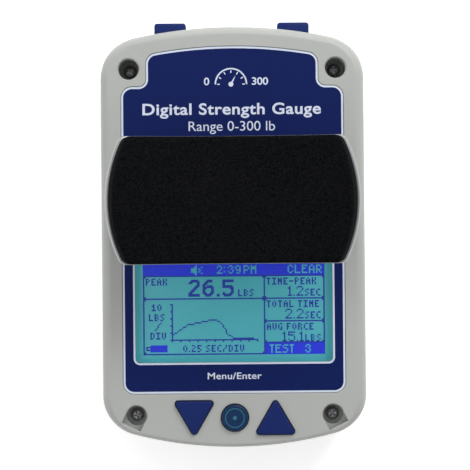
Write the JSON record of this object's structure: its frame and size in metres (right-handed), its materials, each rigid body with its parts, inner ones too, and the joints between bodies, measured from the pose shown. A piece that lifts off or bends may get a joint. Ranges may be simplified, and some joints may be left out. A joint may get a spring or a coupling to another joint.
{
  "type": "hand dynamometer",
  "caption": "Palm-held force gauge: rounded two-part case with display, keys and end buttons, and a curved padded stirrup on a swivelling pull-off post.",
  "frame": {"origin": "on the surface the instrument lies on, under the middle of its outline (the middle of the bounding box's bottom face)", "axes": "+X to the instrument's right as its display is read, +Y towards the end with the two push buttons, +Z out of the display towards the padded stirrup"},
  "size_m": [0.0822, 0.132, 0.0644],
  "materials": {
    "case_grey": "satin moulded ABS, warm light grey",
    "label_blue": "printed film, navy with a pale edge",
    "key_blue": "satin moulded caps, royal blue",
    "clear_acrylic": "clear",
    "display_glass": "teal backlit display",
    "light_guide": "white",
    "steel": "plain",
    "aluminium": "satin, deburred edge",
    "circuit_board": "green solder mask",
    "silicone": "matt grey",
    "black_rubber": "matt black",
    "black_foam": "closed-cell foam with a fine matt skin",
    "nylon": "natural",
    "black_plastic": "matt black",
    "cell_wrap": "shrink wrap"
  },
  "bodies": {
    "instrument": {"front_shell": "case_grey", "rear_shell": "case_grey", "face_label": "label_blue", "display_lens": "clear_acrylic", "rating_label": "aluminium", "post_seal": "black_rubber", "lcd_bezel": "steel", "lcd_glass": "display_glass", "lcd_backlight": "light_guide", "lcd_board": "circuit_board", "keypad_mat": "silicone", "keypad_board": "circuit_board", "top_switch_left": "black_plastic", "top_switch_right": "black_plastic", "top_board": "circuit_board", "load_cell_base": "steel", "load_cell": "aluminium", "cell_bolt": "steel", "main_board": "circuit_board", "beeper": "black_plastic", "battery": "cell_wrap", "usb_socket": "steel", "sensor_lead": "black_plastic", "battery_lead": "black_plastic", "display_ribbon": "nylon", "lcd_screw_1": "steel", "lcd_screw_2": "steel", "lcd_screw_3": "steel", "lcd_screw_4": "steel", "base_screw_1": "steel", "base_screw_2": "steel", "base_screw_3": "steel", "base_screw_4": "steel", "board_screw_1": "steel", "board_screw_2": "steel", "board_screw_3": "steel", "board_screw_4": "steel", "case_screw_1": "steel", "case_screw_2": "steel", "case_screw_3": "steel", "case_screw_4": "steel", "keypad_screw_left": "steel", "keypad_screw_right": "steel", "top_board_screw_left": "steel", "top_board_screw_right": "steel"},
    "swivel_bush": {"swivel_bush": "nylon"},
    "stirrup": {"stirrup_post": "steel", "o_ring": "black_rubber", "stirrup_plate": "aluminium", "stirrup_screw": "steel", "foam_pad": "black_foam"},
    "key_down": {"key_down": "key_blue"},
    "key_select": {"key_select": "key_blue"},
    "key_up": {"key_up": "key_blue"},
    "top_button_left": {"top_button_left": "key_blue"},
    "top_button_right": {"top_button_right": "key_blue"}
  },
  "joints": [
    {"name": "stirrup_swivel", "type": "hinge", "parent": "instrument", "child": "swivel_bush", "pos_m": [0, 0.0108, 0.018], "axis": [0, 0, 1], "continuous": true},
    {"name": "stirrup_pull", "type": "slide", "parent": "swivel_bush", "child": "stirrup", "axis": [0, 0, 1], "range_m": [0, 0.025]},
    {"name": "key_down_press", "type": "slide", "parent": "instrument", "child": "key_down", "axis": [0, 0, -1], "range_m": [0, 0.0008], "stiffness_N_per_m": 1200, "springref_m": -0.0003},
    {"name": "key_select_press", "type": "slide", "parent": "instrument", "child": "key_select", "axis": [0, 0, -1], "range_m": [0, 0.0008], "stiffness_N_per_m": 1200, "springref_m": -0.0003},
    {"name": "key_up_press", "type": "slide", "parent": "instrument", "child": "key_up", "axis": [0, 0, -1], "range_m": [0, 0.0008], "stiffness_N_per_m": 1200, "springref_m": -0.0003},
    {"name": "top_button_left_press", "type": "slide", "parent": "instrument", "child": "top_button_left", "axis": [0, -1, 0], "range_m": [0, 0.001], "stiffness_N_per_m": 1500, "springref_m": -0.0004},
    {"name": "top_button_right_press", "type": "slide", "parent": "instrument", "child": "top_button_right", "axis": [0, -1, 0], "range_m": [0, 0.001], "stiffness_N_per_m": 1500, "springref_m": -0.0004}
  ]
}
